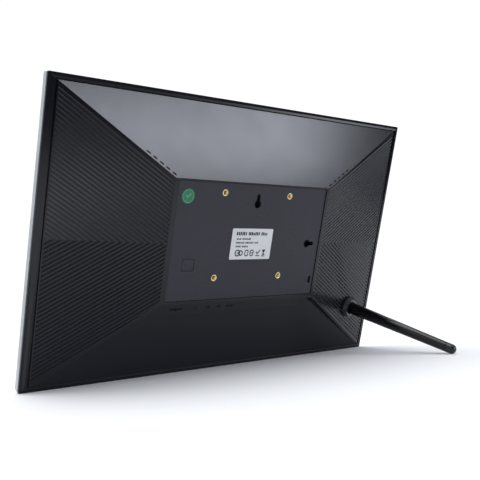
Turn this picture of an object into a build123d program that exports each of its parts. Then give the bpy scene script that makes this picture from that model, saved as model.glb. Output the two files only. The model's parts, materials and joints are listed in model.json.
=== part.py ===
from build123d import *
import os
from math import atan2, cos, degrees, hypot, radians, sin

# Digital photo frame that leans back on one screw-in rod. Millimetres. The frame stands on the table
# as it is used: X along it, +Y out of its back, +Z up, origin at the centre of its bounding box's foot.
# Nearly everything is drawn on planes parallel to the back, with x to the right and y up as seen from
# behind, zero at the middle of the cover's rim, and depth growing towards the back.

# ------------------------------------------------------------------ driving dimensions
width = 391.5
height = 244.4
lean = 17.0                     # degrees that the frame leans back

front_face = -8.2
bezel_back = -2.0
cover_front = -1.5
facet_foot = 1.8                # depth where the cover's four facets start
plateau_top = 18.6              # depth of the raised middle
wall = 2.0
corner = 1.2

bezel_draft = 0.45              # the bezel's front half narrows by this much a side
bezel_step = -5.0
channel_floor = -5.2
lip = 6.0                       # bezel ledge round the display, which the chassis is screwed to

rim_flat = 2.3                  # the cover's rim: a flat, a bevel and a groove
rim_bevel = 2.0
bevel_rise = 1.2
groove_side = 3.0
groove_top = 1.0
groove_floor = 0.4

plateau_width = 177.0
plateau_height = 106.5
plateau_v = 1.25
strip_v = -62.0                 # outer face of the wall that holds the sockets
strip_right = 70.0
floor_depth = 7.4               # the recess floor, where it meets that wall
ridge_lip = 4.0

rib_pitch = 3.58                # chevron grooves on the side facets, spacing up the back
rib_slope = 0.61
rib_groove = 1.5                # width of a groove at the surface beyond its narrow floor
rib_floor = 0.25
rib_depth = 0.55
rib_margin = 2.2

slit_length = 4.2
slit_width = 1.15
slit_pitch = 7.0
slit_count = 5

glass_width = 381.3
glass_height = 234.2
view_width = 344.2              # active area, 15.6 inches across its diagonal
view_height = 193.6
panel_width = 354.0             # opening in the bezel
panel_height = 209.0

plate_u = 0.5                   # recessed middle plate
plate_v = 1.5
plate_width = 169.6
plate_height = 102.6
plate_back = 17.8
plate_front = 15.8
ledge_front = 14.2

insert_pitch = 75.0             # square of four M4 inserts
insert_u = 1.4
insert_v = 7.0
insert_radius = 3.1
thread_hole = 1.65
insert_length = 7.0

keyhole_head = 3.75
keyhole_slot = 1.9
keyhole_travel = 7.0

button_u = -65.5
button_v = -18.5
button_width = 12.0
button_height = 10.0
button_travel = 0.6

board_front = 5.8
board_back = 7.4
board_left = -92.0
board_right = 0.0
board_top = -7.5
board_bottom = -59.6

rod_u = 156.5                   # where the rod leaves the right facet
rod_v = -71.0
rod_out = 10.4                  # degrees that the rod points outwards and down
rod_down = 3.9
rod_foot_radius = 6.15
tip_radius = 4.65
tip_length = 9.0
stud_radius = 2.95
nut_bore = 3.0
collar_radius = 11.0
collar_rise = 5.0
seat = 3.6                      # depth of the seat in the collar, from the facet outwards
gap = 0.05

# ------------------------------------------------------------------ derived sizes and planes
facet_width = width - 2 * (rim_flat + rim_bevel + groove_side)
facet_height = height - 2 * (rim_flat + rim_bevel + groove_top)
rise = plateau_top - facet_foot
side_run = (facet_width - plateau_width) / 2
side_slope = rise / side_run
plateau_low = plateau_v - plateau_height / 2
plateau_high = plateau_v + plateau_height / 2
skin = wall * hypot(side_run, rise) / side_run
ridge = atan2(facet_height / 2 - plateau_high, side_run)

lean_cos = cos(radians(lean))
lean_sin = sin(radians(lean))
rod_d = facet_foot + (facet_width / 2 - rod_u) * side_slope
rod_x = sin(radians(rod_out)) * cos(radians(rod_down))
rod_y = -sin(radians(rod_down))
rod_z = cos(radians(rod_out)) * cos(radians(rod_down))
foot_height = (rod_v + height / 2) * lean_cos - rod_d * lean_sin
rod_reach = (foot_height - tip_radius) / (rod_z * lean_sin - rod_y * lean_cos)
tip_v = rod_v + height / 2 + rod_y * rod_reach
rear_most = tip_v * lean_sin + (rod_d + rod_z * rod_reach) * lean_cos + tip_radius
front_most = bezel_draft * lean_sin + front_face * lean_cos
middle = (rear_most + front_most) / 2

BACK = Plane(
    origin=(0, height / 2 * lean_sin - middle, height / 2 * lean_cos),
    x_dir=(-1, 0, 0),
    z_dir=(0, lean_cos, -lean_sin),
)
ROD_AXIS = BACK.x_dir * rod_x + BACK.y_dir * rod_y + BACK.z_dir * rod_z
ROD = Plane(
    origin=BACK.from_local_coords((rod_u, rod_v, rod_d)),
    x_dir=BACK.y_dir.cross(ROD_AXIS),
    z_dir=ROD_AXIS,
)
UP = (Align.CENTER, Align.CENTER, Align.MIN)


def at(depth):
    """Plane parallel to the back at a depth."""
    return BACK.offset(depth)


def along(distance):
    """Plane square to the rod, a distance out from the facet."""
    return ROD.offset(distance)


def socket_plane(v):
    """Plane across the sockets: x to the right, y is depth, and z points down, out of the wall."""
    return Plane(BACK.from_local_coords((0, v, 0)), x_dir=BACK.x_dir, z_dir=-BACK.y_dir)


def floor_plane(drop):
    """The recess floor, lowered by a drop."""
    run = facet_height / 2 + strip_v
    slope = atan2(floor_depth - facet_foot, run)
    normal = BACK.z_dir * cos(slope) - BACK.y_dir * sin(slope)
    start = BACK.from_local_coords((0, -facet_height / 2, facet_foot))
    return Plane(start - normal * drop, x_dir=BACK.x_dir, z_dir=normal)


def ridge_u(v):
    """Where the lower right ridge crosses a height, moved in by the lip beside the recess."""
    share = (plateau_low - v) / (plateau_low + facet_height / 2)
    return plateau_width / 2 + share * side_run - ridge_lip


def recess_outline():
    """Outline of the recess that the sockets open into."""
    foot = -facet_height / 2
    head = plateau_low - 2.4
    Polyline(
        (-ridge_u(foot), foot),
        (-ridge_u(strip_v), strip_v),
        (strip_right, strip_v),
        (strip_right, head),
        (ridge_u(head), head),
        (ridge_u(foot), foot),
        close=True,
    )


# ------------------------------------------------------------------ spaces cut from the back cover
with BuildPart() as recess_space:
    with BuildSketch(at(0)):
        with BuildLine():
            recess_outline()
        make_face()
    extrude(amount=2 * plateau_top)
    split(bisect_by=floor_plane(0), keep=Keep.TOP)

with BuildPart() as recess_skin:
    with BuildSketch(at(-2 * wall)):
        with BuildLine():
            recess_outline()
        make_face()
        offset(amount=wall, kind=Kind.INTERSECTION)
    extrude(amount=2 * plateau_top)
    split(bisect_by=floor_plane(wall), keep=Keep.TOP)

with BuildPart() as inner_space:
    with BuildSketch(at(facet_foot - skin)):
        Rectangle(facet_width, facet_height)
    with BuildSketch(at(plateau_top - skin)):
        with Locations((0, plateau_v)):
            Rectangle(plateau_width, plateau_height)
    loft()
    with BuildSketch(at(cover_front)):
        Rectangle(facet_width, facet_height)
    extrude(amount=facet_foot - skin - cover_front)
    add(recess_skin.part, mode=Mode.SUBTRACT)
    with BuildSketch(along(-5.5)):
        Circle(collar_radius + 2.5)
    extrude(amount=3 * wall, mode=Mode.SUBTRACT)
    with BuildSketch(at(ledge_front)):
        with Locations((plate_u, plate_v)):
            Rectangle(plate_width + 4, plate_height + 2.4)
    extrude(amount=wall + 1, mode=Mode.SUBTRACT)

def chevron(start, wide):
    """One groove of a side facet, folded about the middle, from a start to past the rim."""
    reach = side_run + 2
    spread = (reach - start) * rib_slope
    half = wide / 2 * hypot(rib_slope, 1)
    outline = [
        (start - half / rib_slope, 0),
        (reach, spread + half),
        (reach, spread - half),
        (start + half / rib_slope, 0),
        (reach, half - spread),
        (reach, -half - spread),
    ]
    Polyline([(x * stretch, side * y) for x, y in outline], close=True)


def rib_limits():
    """Edge of the ribbed area, a margin inside the ridges, the middle and the rim."""
    near = 1.2
    far = side_run - 0.9
    corners = []
    for x, edge in ((near, plateau_high), (far, plateau_high), (far, plateau_low), (near, plateau_low)):
        foot = facet_height / 2 if edge > 0 else -facet_height / 2
        margin = rib_margin if edge > 0 else -rib_margin
        corners.append((x * stretch, side * (edge + (foot - edge) * x / side_run - margin)))
    Polyline(corners, close=True)


with BuildPart() as rib_grooves:
    stretch = hypot(side_run, rise) / side_run
    spacing = rib_pitch / rib_slope
    first = -plateau_high / rib_slope
    count = int((side_run - first) / spacing)
    for side in (-1, 1):
        normal = BACK.z_dir * side_run + BACK.x_dir * (side * rise)
        down_slope = BACK.x_dir * (side * side_run) - BACK.z_dir * rise
        crest = BACK.from_local_coords((side * plateau_width / 2, 0, plateau_top))
        facet = Plane(crest, x_dir=down_slope, z_dir=normal)
        with BuildPart():
            for index in range(count):
                for level, wide in ((rib_depth / 2, 1.5 * rib_groove), (-rib_depth, 0.0)):
                    with BuildSketch(facet.offset(level)):
                        with BuildLine():
                            chevron(first + index * spacing, wide + rib_floor)
                        make_face()
                loft(ruled=True)
            with BuildSketch(facet.offset(-2 * rib_depth)):
                with BuildLine():
                    rib_limits()
                make_face()
            extrude(amount=4 * rib_depth, mode=Mode.INTERSECT)

# ------------------------------------------------------------------ front of the frame
with BuildPart() as front_bezel:
    with BuildSketch(at(front_face)):
        RectangleRounded(width - 2 * bezel_draft, height - 2 * bezel_draft, corner)
    with BuildSketch(at(bezel_step)):
        RectangleRounded(width, height, corner)
    loft()
    with BuildSketch(at(bezel_step)):
        RectangleRounded(width, height, corner)
    extrude(amount=bezel_back - bezel_step)
    with BuildSketch(at(front_face)):
        RectangleRounded(glass_width + 0.4, glass_height + 0.4, 0.8)
    extrude(amount=1.5, mode=Mode.SUBTRACT)
    with BuildSketch(at(front_face)):
        Rectangle(panel_width, panel_height)
    extrude(amount=bezel_back - front_face, mode=Mode.SUBTRACT)
    with BuildSketch(at(channel_floor)):
        Rectangle(width - 7.5, height - 7.5)
        Rectangle(panel_width + 2 * lip, panel_height + 2 * lip, mode=Mode.SUBTRACT)
    extrude(amount=bezel_back - channel_floor, mode=Mode.SUBTRACT)
    with BuildSketch(at(bezel_back)):
        with GridLocations(panel_width + lip, 170, 2, 2):
            Circle(0.95)
        with GridLocations(190, panel_height + lip, 2, 2):
            Circle(0.95)
    extrude(amount=-3.2, mode=Mode.SUBTRACT)

with BuildPart() as cover_glass:
    with BuildSketch(at(front_face + 0.1)):
        RectangleRounded(glass_width, glass_height, 0.6)
    extrude(amount=1.1)

with BuildPart() as glass_mask:
    with BuildSketch(at(-7.0)):
        RectangleRounded(glass_width, glass_height, 0.6)
        Rectangle(view_width + 0.8, view_height + 0.8, mode=Mode.SUBTRACT)
    extrude(amount=0.1)

with BuildPart() as glass_tape:
    with BuildSketch(at(-6.9)):
        Rectangle(glass_width - 1, glass_height - 1)
        Rectangle(panel_width + 1, panel_height + 1, mode=Mode.SUBTRACT)
    extrude(amount=0.2)

with BuildPart() as panel_gasket:
    with BuildSketch(at(-6.9)):
        Rectangle(350, 203)
        Rectangle(view_width + 1.6, view_height + 1.6, mode=Mode.SUBTRACT)
    extrude(amount=0.3)

with BuildPart() as lcd_panel:
    with BuildSketch(at(-6.6)):
        Rectangle(350.6, 203.4)
    extrude(amount=1.1)

with BuildPart() as optical_sheets:
    with BuildSketch(at(-5.45)):
        Rectangle(349.6, 202.4)
    extrude(amount=0.45)

with BuildPart() as light_guide:
    with BuildSketch(at(-4.95)):
        with Locations((0, 0.8)):
            Rectangle(348.6, 200.4)
    extrude(amount=2.0)

with BuildPart() as backlight_leds:
    with BuildSketch(at(-4.95)):
        with Locations((0, -101.1)):
            Rectangle(345, 1.0)
        with Locations((0, -100.2)):
            with GridLocations(9.4, 0, 36, 1):
                Rectangle(3.2, 1.0)
    extrude(amount=2.0)

with BuildPart() as reflector_sheet:
    with BuildSketch(at(-2.9)):
        Rectangle(349.6, 202.4)
    extrude(amount=0.25)

with BuildPart() as panel_tray:
    with BuildSketch(at(-6.5)):
        Rectangle(352.2, 205.2)
    extrude(amount=4.4)
    with BuildSketch(at(-6.5)):
        Rectangle(351.2, 204.2)
    extrude(amount=3.9, mode=Mode.SUBTRACT)

# ------------------------------------------------------------------ chassis behind the display
with BuildPart() as chassis_plate:
    with BuildSketch(at(bezel_back)):
        Rectangle(panel_width + 2 * lip, panel_height + 2 * lip)
        with GridLocations(297, 0, 2, 1):
            RectangleRounded(57, 184, 6, mode=Mode.SUBTRACT)
        with GridLocations(100, 0, 2, 1):
            with Locations((0, 60)):
                RectangleRounded(60, 40, 6, mode=Mode.SUBTRACT)
        with GridLocations(panel_width + lip, 170, 2, 2):
            Circle(1.2, mode=Mode.SUBTRACT)
        with GridLocations(190, panel_height + lip, 2, 2):
            Circle(1.2, mode=Mode.SUBTRACT)
    extrude(amount=0.8)


def screw(head_radius, head_height, shaft_radius, shaft_length):
    """Profile of a pan-head screw, upright, with the head's underside at zero."""
    with BuildPart(mode=Mode.PRIVATE) as fastener:
        Cylinder(head_radius, head_height, align=UP)
        chamfer(fastener.edges().sort_by(Axis.Z)[-1], head_height * 0.3)
        with Locations((0, 0, head_height)):
            Box(1.1 * head_radius, 0.3 * head_radius, head_height, mode=Mode.SUBTRACT)
            Box(0.3 * head_radius, 1.1 * head_radius, head_height, mode=Mode.SUBTRACT)
        Cylinder(shaft_radius, shaft_length, align=(Align.CENTER, Align.CENTER, Align.MAX))
    return fastener.part


chassis_screw = screw(2.2, 1.2, 0.9, 3.6)
board_screw = screw(2.3, 1.3, 1.15, 5.0)

with BuildPart(at(bezel_back + 0.8)) as chassis_screws:
    with GridLocations(panel_width + lip, 170, 2, 2):
        add(chassis_screw)
    with GridLocations(190, panel_height + lip, 2, 2):
        add(chassis_screw)

# ------------------------------------------------------------------ back cover
# speaker slits beside the two upper ridges
with BuildPart() as speaker_slits:
    with BuildSketch(at(groove_floor)):
        for side in (-1, 1):
            for step in range(slit_count):
                reach = 3.0 + step * slit_pitch
                u = plateau_width / 2 + reach * cos(ridge) - 1.9 * sin(ridge)
                v = plateau_high + reach * sin(ridge) + 1.9 * cos(ridge)
                with Locations((side * u, v)):
                    SlotOverall(slit_length, slit_width, rotation=side * degrees(ridge))
    extrude(amount=plateau_top + 2)

with BuildPart() as back_cover:
    with BuildSketch(at(cover_front)):
        RectangleRounded(width, height, corner)
    extrude(amount=-cover_front)
    with BuildSketch(at(0)):
        Rectangle(width - 2 * rim_flat, height - 2 * rim_flat)
    with BuildSketch(at(bevel_rise)):
        Rectangle(width - 2 * (rim_flat + rim_bevel), height - 2 * (rim_flat + rim_bevel))
    loft()
    with BuildSketch(at(groove_floor)):
        Rectangle(width - 2 * (rim_flat + rim_bevel), height - 2 * (rim_flat + rim_bevel))
    extrude(amount=wall, mode=Mode.SUBTRACT)
    with BuildSketch(at(groove_floor)):
        Rectangle(facet_width, facet_height)
    extrude(amount=facet_foot - groove_floor)
    with BuildSketch(at(facet_foot)):
        Rectangle(facet_width, facet_height)
    with BuildSketch(at(plateau_top)):
        with Locations((0, plateau_v)):
            Rectangle(plateau_width, plateau_height)
    loft()
    add(recess_space.part, mode=Mode.SUBTRACT)
    add(inner_space.part, mode=Mode.SUBTRACT)
    add(speaker_slits.part, mode=Mode.SUBTRACT)
    add(rib_grooves.part, mode=Mode.SUBTRACT)

    # ring that closes the joint with the bezel, set in to leave a dark line, and its snap tabs
    with BuildSketch(at(bezel_back)):
        Rectangle(width - 5, height - 5)
        Rectangle(facet_width, facet_height, mode=Mode.SUBTRACT)
    extrude(amount=cover_front - bezel_back)
    with BuildSketch(at(bezel_back - 2.4)):
        with GridLocations(381.2, 60, 2, 3):
            Rectangle(1.2, 8)
        with GridLocations(80, 234.6, 4, 2):
            Rectangle(8, 1.2)
    extrude(amount=3)

    # opening of the middle plate, with a ledge that the plate lies on
    with BuildSketch(at(plate_front)):
        with Locations((plate_u, plate_v)):
            Rectangle(plate_width + 0.4, plate_height + 0.4)
    extrude(amount=4, mode=Mode.SUBTRACT)
    with BuildSketch(at(ledge_front)):
        with Locations((plate_u, plate_v)):
            Rectangle(plate_width - 3.6, plate_height - 3.6)
            with GridLocations(plate_width - 1.6, 60, 2, 2):
                Circle(0.55)
    extrude(amount=wall + 4, mode=Mode.SUBTRACT)

    # socket openings in the wall below the strip
    with BuildSketch(socket_plane(strip_v)):
        with Locations((-72, 8.95)):
            RectangleRounded(25.4, 2.5, 0.4)
        with Locations((-51, 10.4)):
            Circle(3.15)
        with Locations((-38, 10.7)):
            Circle(3.6)
        with Locations((-26, 8.95)):
            RectangleRounded(8.2, 2.6, 0.6)
        with Locations((-14, 10.3)):
            RectangleRounded(13.6, 5.4, 0.4)
    extrude(amount=-wall - 1, mode=Mode.SUBTRACT)

    # seat and hole of the stand collar
    with BuildSketch(along(-3.0)):
        Circle(collar_radius + 0.1)
    extrude(amount=10, mode=Mode.SUBTRACT)
    with BuildSketch(along(-10)):
        Circle(7.2)
    extrude(amount=10, mode=Mode.SUBTRACT)

# ------------------------------------------------------------------ middle plate and what it carries
insert_centre = (insert_u, insert_v)
insert_grid = (insert_pitch, insert_pitch, 2, 2)
top_keyhole = (1.8, 35.9, 90)
side_keyhole = (69.8, 0.0, 0)
lock_slot = (80.8, -35.7)


def keyhole(u, v, turn):
    """Round head with a narrower slot that runs off one side of it."""
    with Locations(Location((u, v), turn)):
        Circle(keyhole_head)
        with Locations((keyhole_travel / 2, 0)):
            Rectangle(keyhole_travel, 2 * keyhole_slot)
        with Locations((keyhole_travel, 0)):
            Circle(keyhole_slot)


with BuildPart() as rear_plate:
    with BuildSketch(at(plate_front)):
        with Locations((plate_u, plate_v)):
            RectangleRounded(plate_width, plate_height, 0.5)
    extrude(amount=plate_back - plate_front)
    with BuildSketch(at(plate_front)):
        with Locations((plate_u, plate_v)):
            with GridLocations(plate_width - 1.6, 60, 2, 2):
                Circle(0.5)
    extrude(amount=-1.6)

    # bosses of the inserts
    with BuildSketch(at(plate_back - insert_length - 0.8)):
        with Locations(insert_centre):
            with GridLocations(*insert_grid):
                Circle(insert_radius + 1.7)
    extrude(amount=insert_length - 1)
    with BuildSketch(at(plate_back)):
        with Locations(insert_centre):
            with GridLocations(*insert_grid):
                Circle(insert_radius + gap)
    extrude(amount=-insert_length, mode=Mode.SUBTRACT)

    # closed pockets behind the keyholes
    pocket_front = plate_front - 6.2
    with BuildSketch(at(pocket_front)):
        for u, v, turn in (top_keyhole, side_keyhole):
            with Locations(Location((u, v), turn)):
                with Locations((2.6, 0)):
                    RectangleRounded(18.4, 12.4, 2.5)
    extrude(amount=plate_front - pocket_front)
    with BuildSketch(at(pocket_front + 1.2)):
        for u, v, turn in (top_keyhole, side_keyhole):
            with Locations(Location((u, v), turn)):
                with Locations((2.6, 0)):
                    RectangleRounded(16, 10, 1.4)
    extrude(amount=plate_front - pocket_front - 1.2, mode=Mode.SUBTRACT)
    with BuildSketch(at(pocket_front + 2)):
        for u, v, turn in (top_keyhole, side_keyhole):
            keyhole(u, v, turn)
    extrude(amount=10, mode=Mode.SUBTRACT)

    # lock slot with a small round mark beside it, and the window of the power button
    with BuildSketch(at(plate_front - 1)):
        with Locations(lock_slot):
            RectangleRounded(3, 7, 1)
        with Locations((button_u, button_v)):
            RectangleRounded(button_width + 0.5, button_height + 0.5, 0.8)
    extrude(amount=4, mode=Mode.SUBTRACT)
    with BuildSketch(at(plate_back)):
        with Locations((75.5, -35.7)):
            Circle(1.2)
    extrude(amount=-0.25, mode=Mode.SUBTRACT)

with BuildPart() as mount_inserts:
    with BuildSketch(at(plate_back + 0.1)):
        with Locations(insert_centre):
            with GridLocations(*insert_grid):
                Circle(insert_radius)
    extrude(amount=-insert_length)
    with BuildSketch(at(plate_back - insert_length / 2 + 0.5)):
        with Locations(insert_centre):
            with GridLocations(*insert_grid):
                Circle(insert_radius)
                Circle(insert_radius - 0.5, mode=Mode.SUBTRACT)
    extrude(amount=-1, mode=Mode.SUBTRACT)
    with BuildSketch(at(plate_back + 0.1)):
        with Locations(insert_centre):
            with GridLocations(*insert_grid):
                Circle(thread_hole)
    extrude(amount=-insert_length, mode=Mode.SUBTRACT)

with BuildPart() as lock_slot_plate:
    with BuildSketch(at(plate_front - 1)):
        with Locations((77.6, lock_slot[1])):
            RectangleRounded(11, 16, 1)
        with Locations(lock_slot):
            RectangleRounded(3.2, 7.2, 1, mode=Mode.SUBTRACT)
    extrude(amount=1)

with BuildPart() as rating_label:
    with BuildSketch(at(plate_back)):
        with Locations((1.1, -0.3)):
            RectangleRounded(47, 28, 1)
    extrude(amount=0.12)

with BuildPart() as inspection_sticker:
    with BuildSketch(at(plate_back)):
        with Locations((-74, 40)):
            Circle(6.25)
    extrude(amount=0.1)

# ------------------------------------------------------------------ power button and its switch
stem_end = 12.2

with BuildPart() as power_button:
    with BuildSketch(at(plate_front - 1.05)):
        with Locations((button_u, button_v)):
            RectangleRounded(button_width + 3, button_height + 3, 1)
    extrude(amount=1)
    with BuildSketch(at(plate_front - 0.1)):
        with Locations((button_u, button_v)):
            RectangleRounded(button_width, button_height, 0.6)
    extrude(amount=plate_back - plate_front + 0.1)
    chamfer(power_button.faces().sort_by(Axis(BACK.origin, BACK.z_dir))[-1].edges(), 0.25)
    with BuildSketch(at(plate_front - 1)):
        with Locations((button_u, button_v)):
            Circle(2.4)
    extrude(amount=stem_end - plate_front + 1)

with BuildPart() as switch_plunger:
    with BuildSketch(at(9.4)):
        with Locations((button_u, button_v)):
            Circle(1.7)
    extrude(amount=stem_end - 9.4)

with BuildPart() as power_switch:
    with BuildSketch(at(board_back)):
        with Locations((button_u, button_v)):
            Rectangle(6, 6)
    extrude(amount=3.4)
    with BuildSketch(at(8.4)):
        with Locations((button_u, button_v)):
            Circle(2.0)
    extrude(amount=5, mode=Mode.SUBTRACT)

# ------------------------------------------------------------------ main board
board_posts = [(-88, -12), (-88, -50), (-4, -12), (-4, -50)]

with BuildPart() as main_board:
    with BuildSketch(at(board_front)):
        with Locations(((board_left + board_right) / 2, (board_top + board_bottom) / 2)):
            RectangleRounded(board_right - board_left, board_top - board_bottom, 1)
        with Locations(*board_posts):
            Circle(1.3, mode=Mode.SUBTRACT)
    extrude(amount=board_back - board_front)

with BuildPart() as board_standoffs:
    with BuildSketch(at(bezel_back + 0.8)):
        with Locations(*board_posts):
            RegularPolygon(2.9, 6)
            Circle(1.2, mode=Mode.SUBTRACT)
    extrude(amount=board_front - bezel_back - 0.8)

with BuildPart(at(board_back)) as board_screws:
    with Locations(*board_posts):
        add(board_screw)


with BuildPart() as processor:
    with BuildSketch(at(board_back)):
        with Locations((-22, -34)):
            Rectangle(14, 14)
    extrude(amount=1.3)

with BuildPart() as heat_spreader:
    with BuildSketch(at(board_back + 1.3)):
        with Locations((-22, -34)):
            Rectangle(16, 16)
    extrude(amount=1)
    with BuildSketch(at(board_back + 2.3)):
        with Locations((-22, -34)):
            with GridLocations(2.6, 0, 6, 1):
                Rectangle(0.9, 16)
    extrude(amount=2.6)

with BuildPart() as memory_chips:
    with BuildSketch(at(board_back)):
        with Locations((-50, -22), (-50, -37)):
            Rectangle(9, 13)
    extrude(amount=1)

with BuildPart() as wifi_module:
    with BuildSketch(at(board_back)):
        with Locations((-79, -21)):
            Rectangle(12, 15)
    extrude(amount=2)

with BuildPart() as board_capacitors:
    with BuildSketch(at(board_back)):
        with Locations((-7, -22), (-7, -32), (-28, -50), (-42, -44)):
            Circle(2.6)
    extrude(amount=5.2)

# ------------------------------------------------------------------ sockets
socket_back = strip_v + wall + 0.05

with BuildPart() as sd_card_socket:
    with BuildSketch(socket_plane(socket_back)):
        with Locations((-72, board_back + 1.5)):
            Rectangle(26, 3)
    extrude(amount=-28)
    with BuildSketch(socket_plane(socket_back)):
        with Locations((-72, board_back + 1.55)):
            Rectangle(24.2, 2.2)
    extrude(amount=-25, mode=Mode.SUBTRACT)

with BuildPart() as headphone_socket:
    with BuildSketch(socket_plane(socket_back)):
        with Locations((-51, board_back + 3)):
            Rectangle(6.6, 6)
    extrude(amount=-14)
    with BuildSketch(socket_plane(strip_v + 0.3)):
        with Locations((-51, board_back + 3)):
            Circle(3)
    extrude(amount=-3)
    with BuildSketch(socket_plane(strip_v)):
        with Locations((-51, board_back + 3)):
            Circle(1.8)
    extrude(amount=-14, mode=Mode.SUBTRACT)

with BuildPart() as dc_socket:
    with BuildSketch(socket_plane(socket_back)):
        with Locations((-38, board_back + 3.3)):
            Rectangle(8, 6.6)
    extrude(amount=-11)
    with BuildSketch(socket_plane(socket_back)):
        with Locations((-38, board_back + 3.3)):
            Circle(2.85)
            Circle(0.85, mode=Mode.SUBTRACT)
    extrude(amount=-9.5, mode=Mode.SUBTRACT)

with BuildPart() as micro_usb_socket:
    with BuildSketch(socket_plane(strip_v + 0.5)):
        with Locations((-26, board_back + 1.5)):
            Rectangle(7.6, 2.2)
    extrude(amount=-6.5)
    with BuildSketch(socket_plane(strip_v)):
        with Locations((-26, board_back + 1.5)):
            Rectangle(6.9, 1.6)
    extrude(amount=-6, mode=Mode.SUBTRACT)
    with BuildSketch(socket_plane(strip_v + 1.2)):
        with Locations((-26, board_back + 1.3)):
            Rectangle(4, 0.5)
    extrude(amount=-5)
    with BuildSketch(socket_plane(socket_back)):
        with Locations((-26, board_back + 0.2)):
            Rectangle(7.6, 0.4)
    extrude(amount=-4.4)

with BuildPart() as usb_socket:
    with BuildSketch(socket_plane(strip_v + 0.3)):
        with Locations((-14, board_back + 2.9)):
            RectangleRounded(13.2, 5.0, 0.4)
    extrude(amount=-18)
    with BuildSketch(socket_plane(strip_v)):
        with Locations((-14, board_back + 2.9)):
            RectangleRounded(12.5, 4.5, 0.3)
    extrude(amount=-17.5, mode=Mode.SUBTRACT)
    with BuildSketch(socket_plane(strip_v + 1.5)):
        with Locations((-14, board_back + 4.0)):
            Rectangle(11.1, 1.5)
    extrude(amount=-16.5)
    with BuildSketch(socket_plane(socket_back + 0.4)):
        with Locations((-14, board_back + 0.25)):
            Rectangle(13.2, 0.5)
    extrude(amount=-14)

# ------------------------------------------------------------------ display driver board and flat cable
with BuildPart() as driver_board:
    with BuildSketch(at(bezel_back + 0.8)):
        with Locations((0, -91)):
            Rectangle(120, 14)
    extrude(amount=1)

with BuildPart() as driver_chips:
    with BuildSketch(at(bezel_back + 1.8)):
        with Locations((-45, -92), (12, -92), (40, -92)):
            Rectangle(12, 7)
    extrude(amount=0.9)

with BuildPart() as cable_connectors:
    with BuildSketch(at(bezel_back + 1.8)):
        with Locations((-26, -93)):
            Rectangle(19, 5)
    extrude(amount=1.3)
    with BuildSketch(at(board_back)):
        with Locations((-26, -20)):
            Rectangle(19, 5)
    extrude(amount=1.5)

with BuildPart() as flat_cable:
    side_on = Plane(BACK.from_local_coords((-26, 0, 0)), x_dir=BACK.y_dir, z_dir=BACK.x_dir)
    with BuildSketch(side_on):
        with BuildLine() as cable_route:
            FilletPolyline(
                (-90.5, 0.6),
                (-82, 0.6),
                (-76, 2.4),
                (-3.6, 2.4),
                (-3.6, 8.6),
                (-17.5, 8.6),
                radius=1.6,
            )
        trace(line_width=0.3)
    extrude(amount=8, both=True)

# ------------------------------------------------------------------ speakers and aerial
speaker_u = 99
speaker_v = 56


def speaker_plane(side, depth):
    """Plane over a speaker's middle, with x along the ridge beside it."""
    origin = BACK.from_local_coords((side * speaker_u, speaker_v, depth))
    return Plane(origin, x_dir=BACK.x_dir * cos(ridge) + BACK.y_dir * side * sin(ridge), z_dir=BACK.z_dir)


def make_speaker(side):
    """Open frame of an oval speaker with its magnet below."""
    with BuildPart() as speaker:
        with BuildSketch(speaker_plane(side, 0.6)):
            Circle(6.5)
        extrude(amount=3.4)
        with BuildSketch(speaker_plane(side, 4)):
            RectangleRounded(28, 16, 3)
        extrude(amount=3.5)
        with BuildSketch(speaker_plane(side, 4.8)):
            SlotOverall(25, 13)
        extrude(amount=4, mode=Mode.SUBTRACT)
    return speaker


speaker_left = make_speaker(1)
speaker_right = make_speaker(-1)

with BuildPart() as speaker_cones:
    for side in (-1, 1):
        with BuildSketch(speaker_plane(side, 4.8)):
            SlotOverall(24.6, 12.6)
        extrude(amount=1.4, taper=25)

with BuildPart() as speaker_pads:
    for side in (-1, 1):
        with BuildSketch(speaker_plane(side, bezel_back + 0.8)):
            Rectangle(26, 12)
        extrude(amount=0.6 - bezel_back - 0.8)

with BuildPart() as wifi_aerial:
    with BuildSketch(at(bezel_back + 0.8)):
        with Locations((0, 86)):
            RectangleRounded(45, 9, 1)
    extrude(amount=0.4)

# ------------------------------------------------------------------ stand
foot = seat + 0.84
joint = rod_reach - 5.0
joint_radius = rod_foot_radius + (tip_radius - rod_foot_radius) * (joint - foot) / (rod_reach - foot)
ROD_SIDE = Plane(ROD.origin, x_dir=ROD.x_dir, z_dir=-ROD.y_dir)
ROD_LINE = Axis(ROD.origin, ROD_AXIS)

with BuildPart() as stand_collar:
    with BuildSketch(along(-2.95)):
        Circle(collar_radius)
    extrude(amount=4.15)
    with BuildSketch(along(1.2)):
        Circle(collar_radius)
    with BuildSketch(along(collar_rise)):
        Circle(collar_radius - 1.8)
    loft()
    with BuildSketch(along(-7)):
        Circle(7.15)
    extrude(amount=4.1)
    with BuildSketch(along(seat)):
        Circle(rod_foot_radius + 0.45)
    extrude(amount=5, mode=Mode.SUBTRACT)
    with BuildSketch(along(-8)):
        Circle(4.55)
    extrude(amount=10, mode=Mode.SUBTRACT)
    with BuildSketch(along(0)):
        Circle(3.4)
    extrude(amount=5, mode=Mode.SUBTRACT)

with BuildPart() as stand_nut:
    with BuildSketch(along(-6.9)):
        Circle(4.5)
    extrude(amount=8.8)
    with BuildSketch(along(-3)):
        Circle(4.5)
        Circle(4.0, mode=Mode.SUBTRACT)
    extrude(amount=1, mode=Mode.SUBTRACT)
    with BuildSketch(along(-8)):
        Circle(nut_bore)
    extrude(amount=12, mode=Mode.SUBTRACT)

with BuildPart() as stand_washer:
    with BuildSketch(along(seat + 0.02)):
        Circle(6.0)
        Circle(3.3, mode=Mode.SUBTRACT)
    extrude(amount=0.8)

with BuildPart() as stand_stud:
    with BuildSketch(along(-5.5)):
        Circle(stud_radius)
    extrude(amount=foot + 5.5 + 7)

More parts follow.
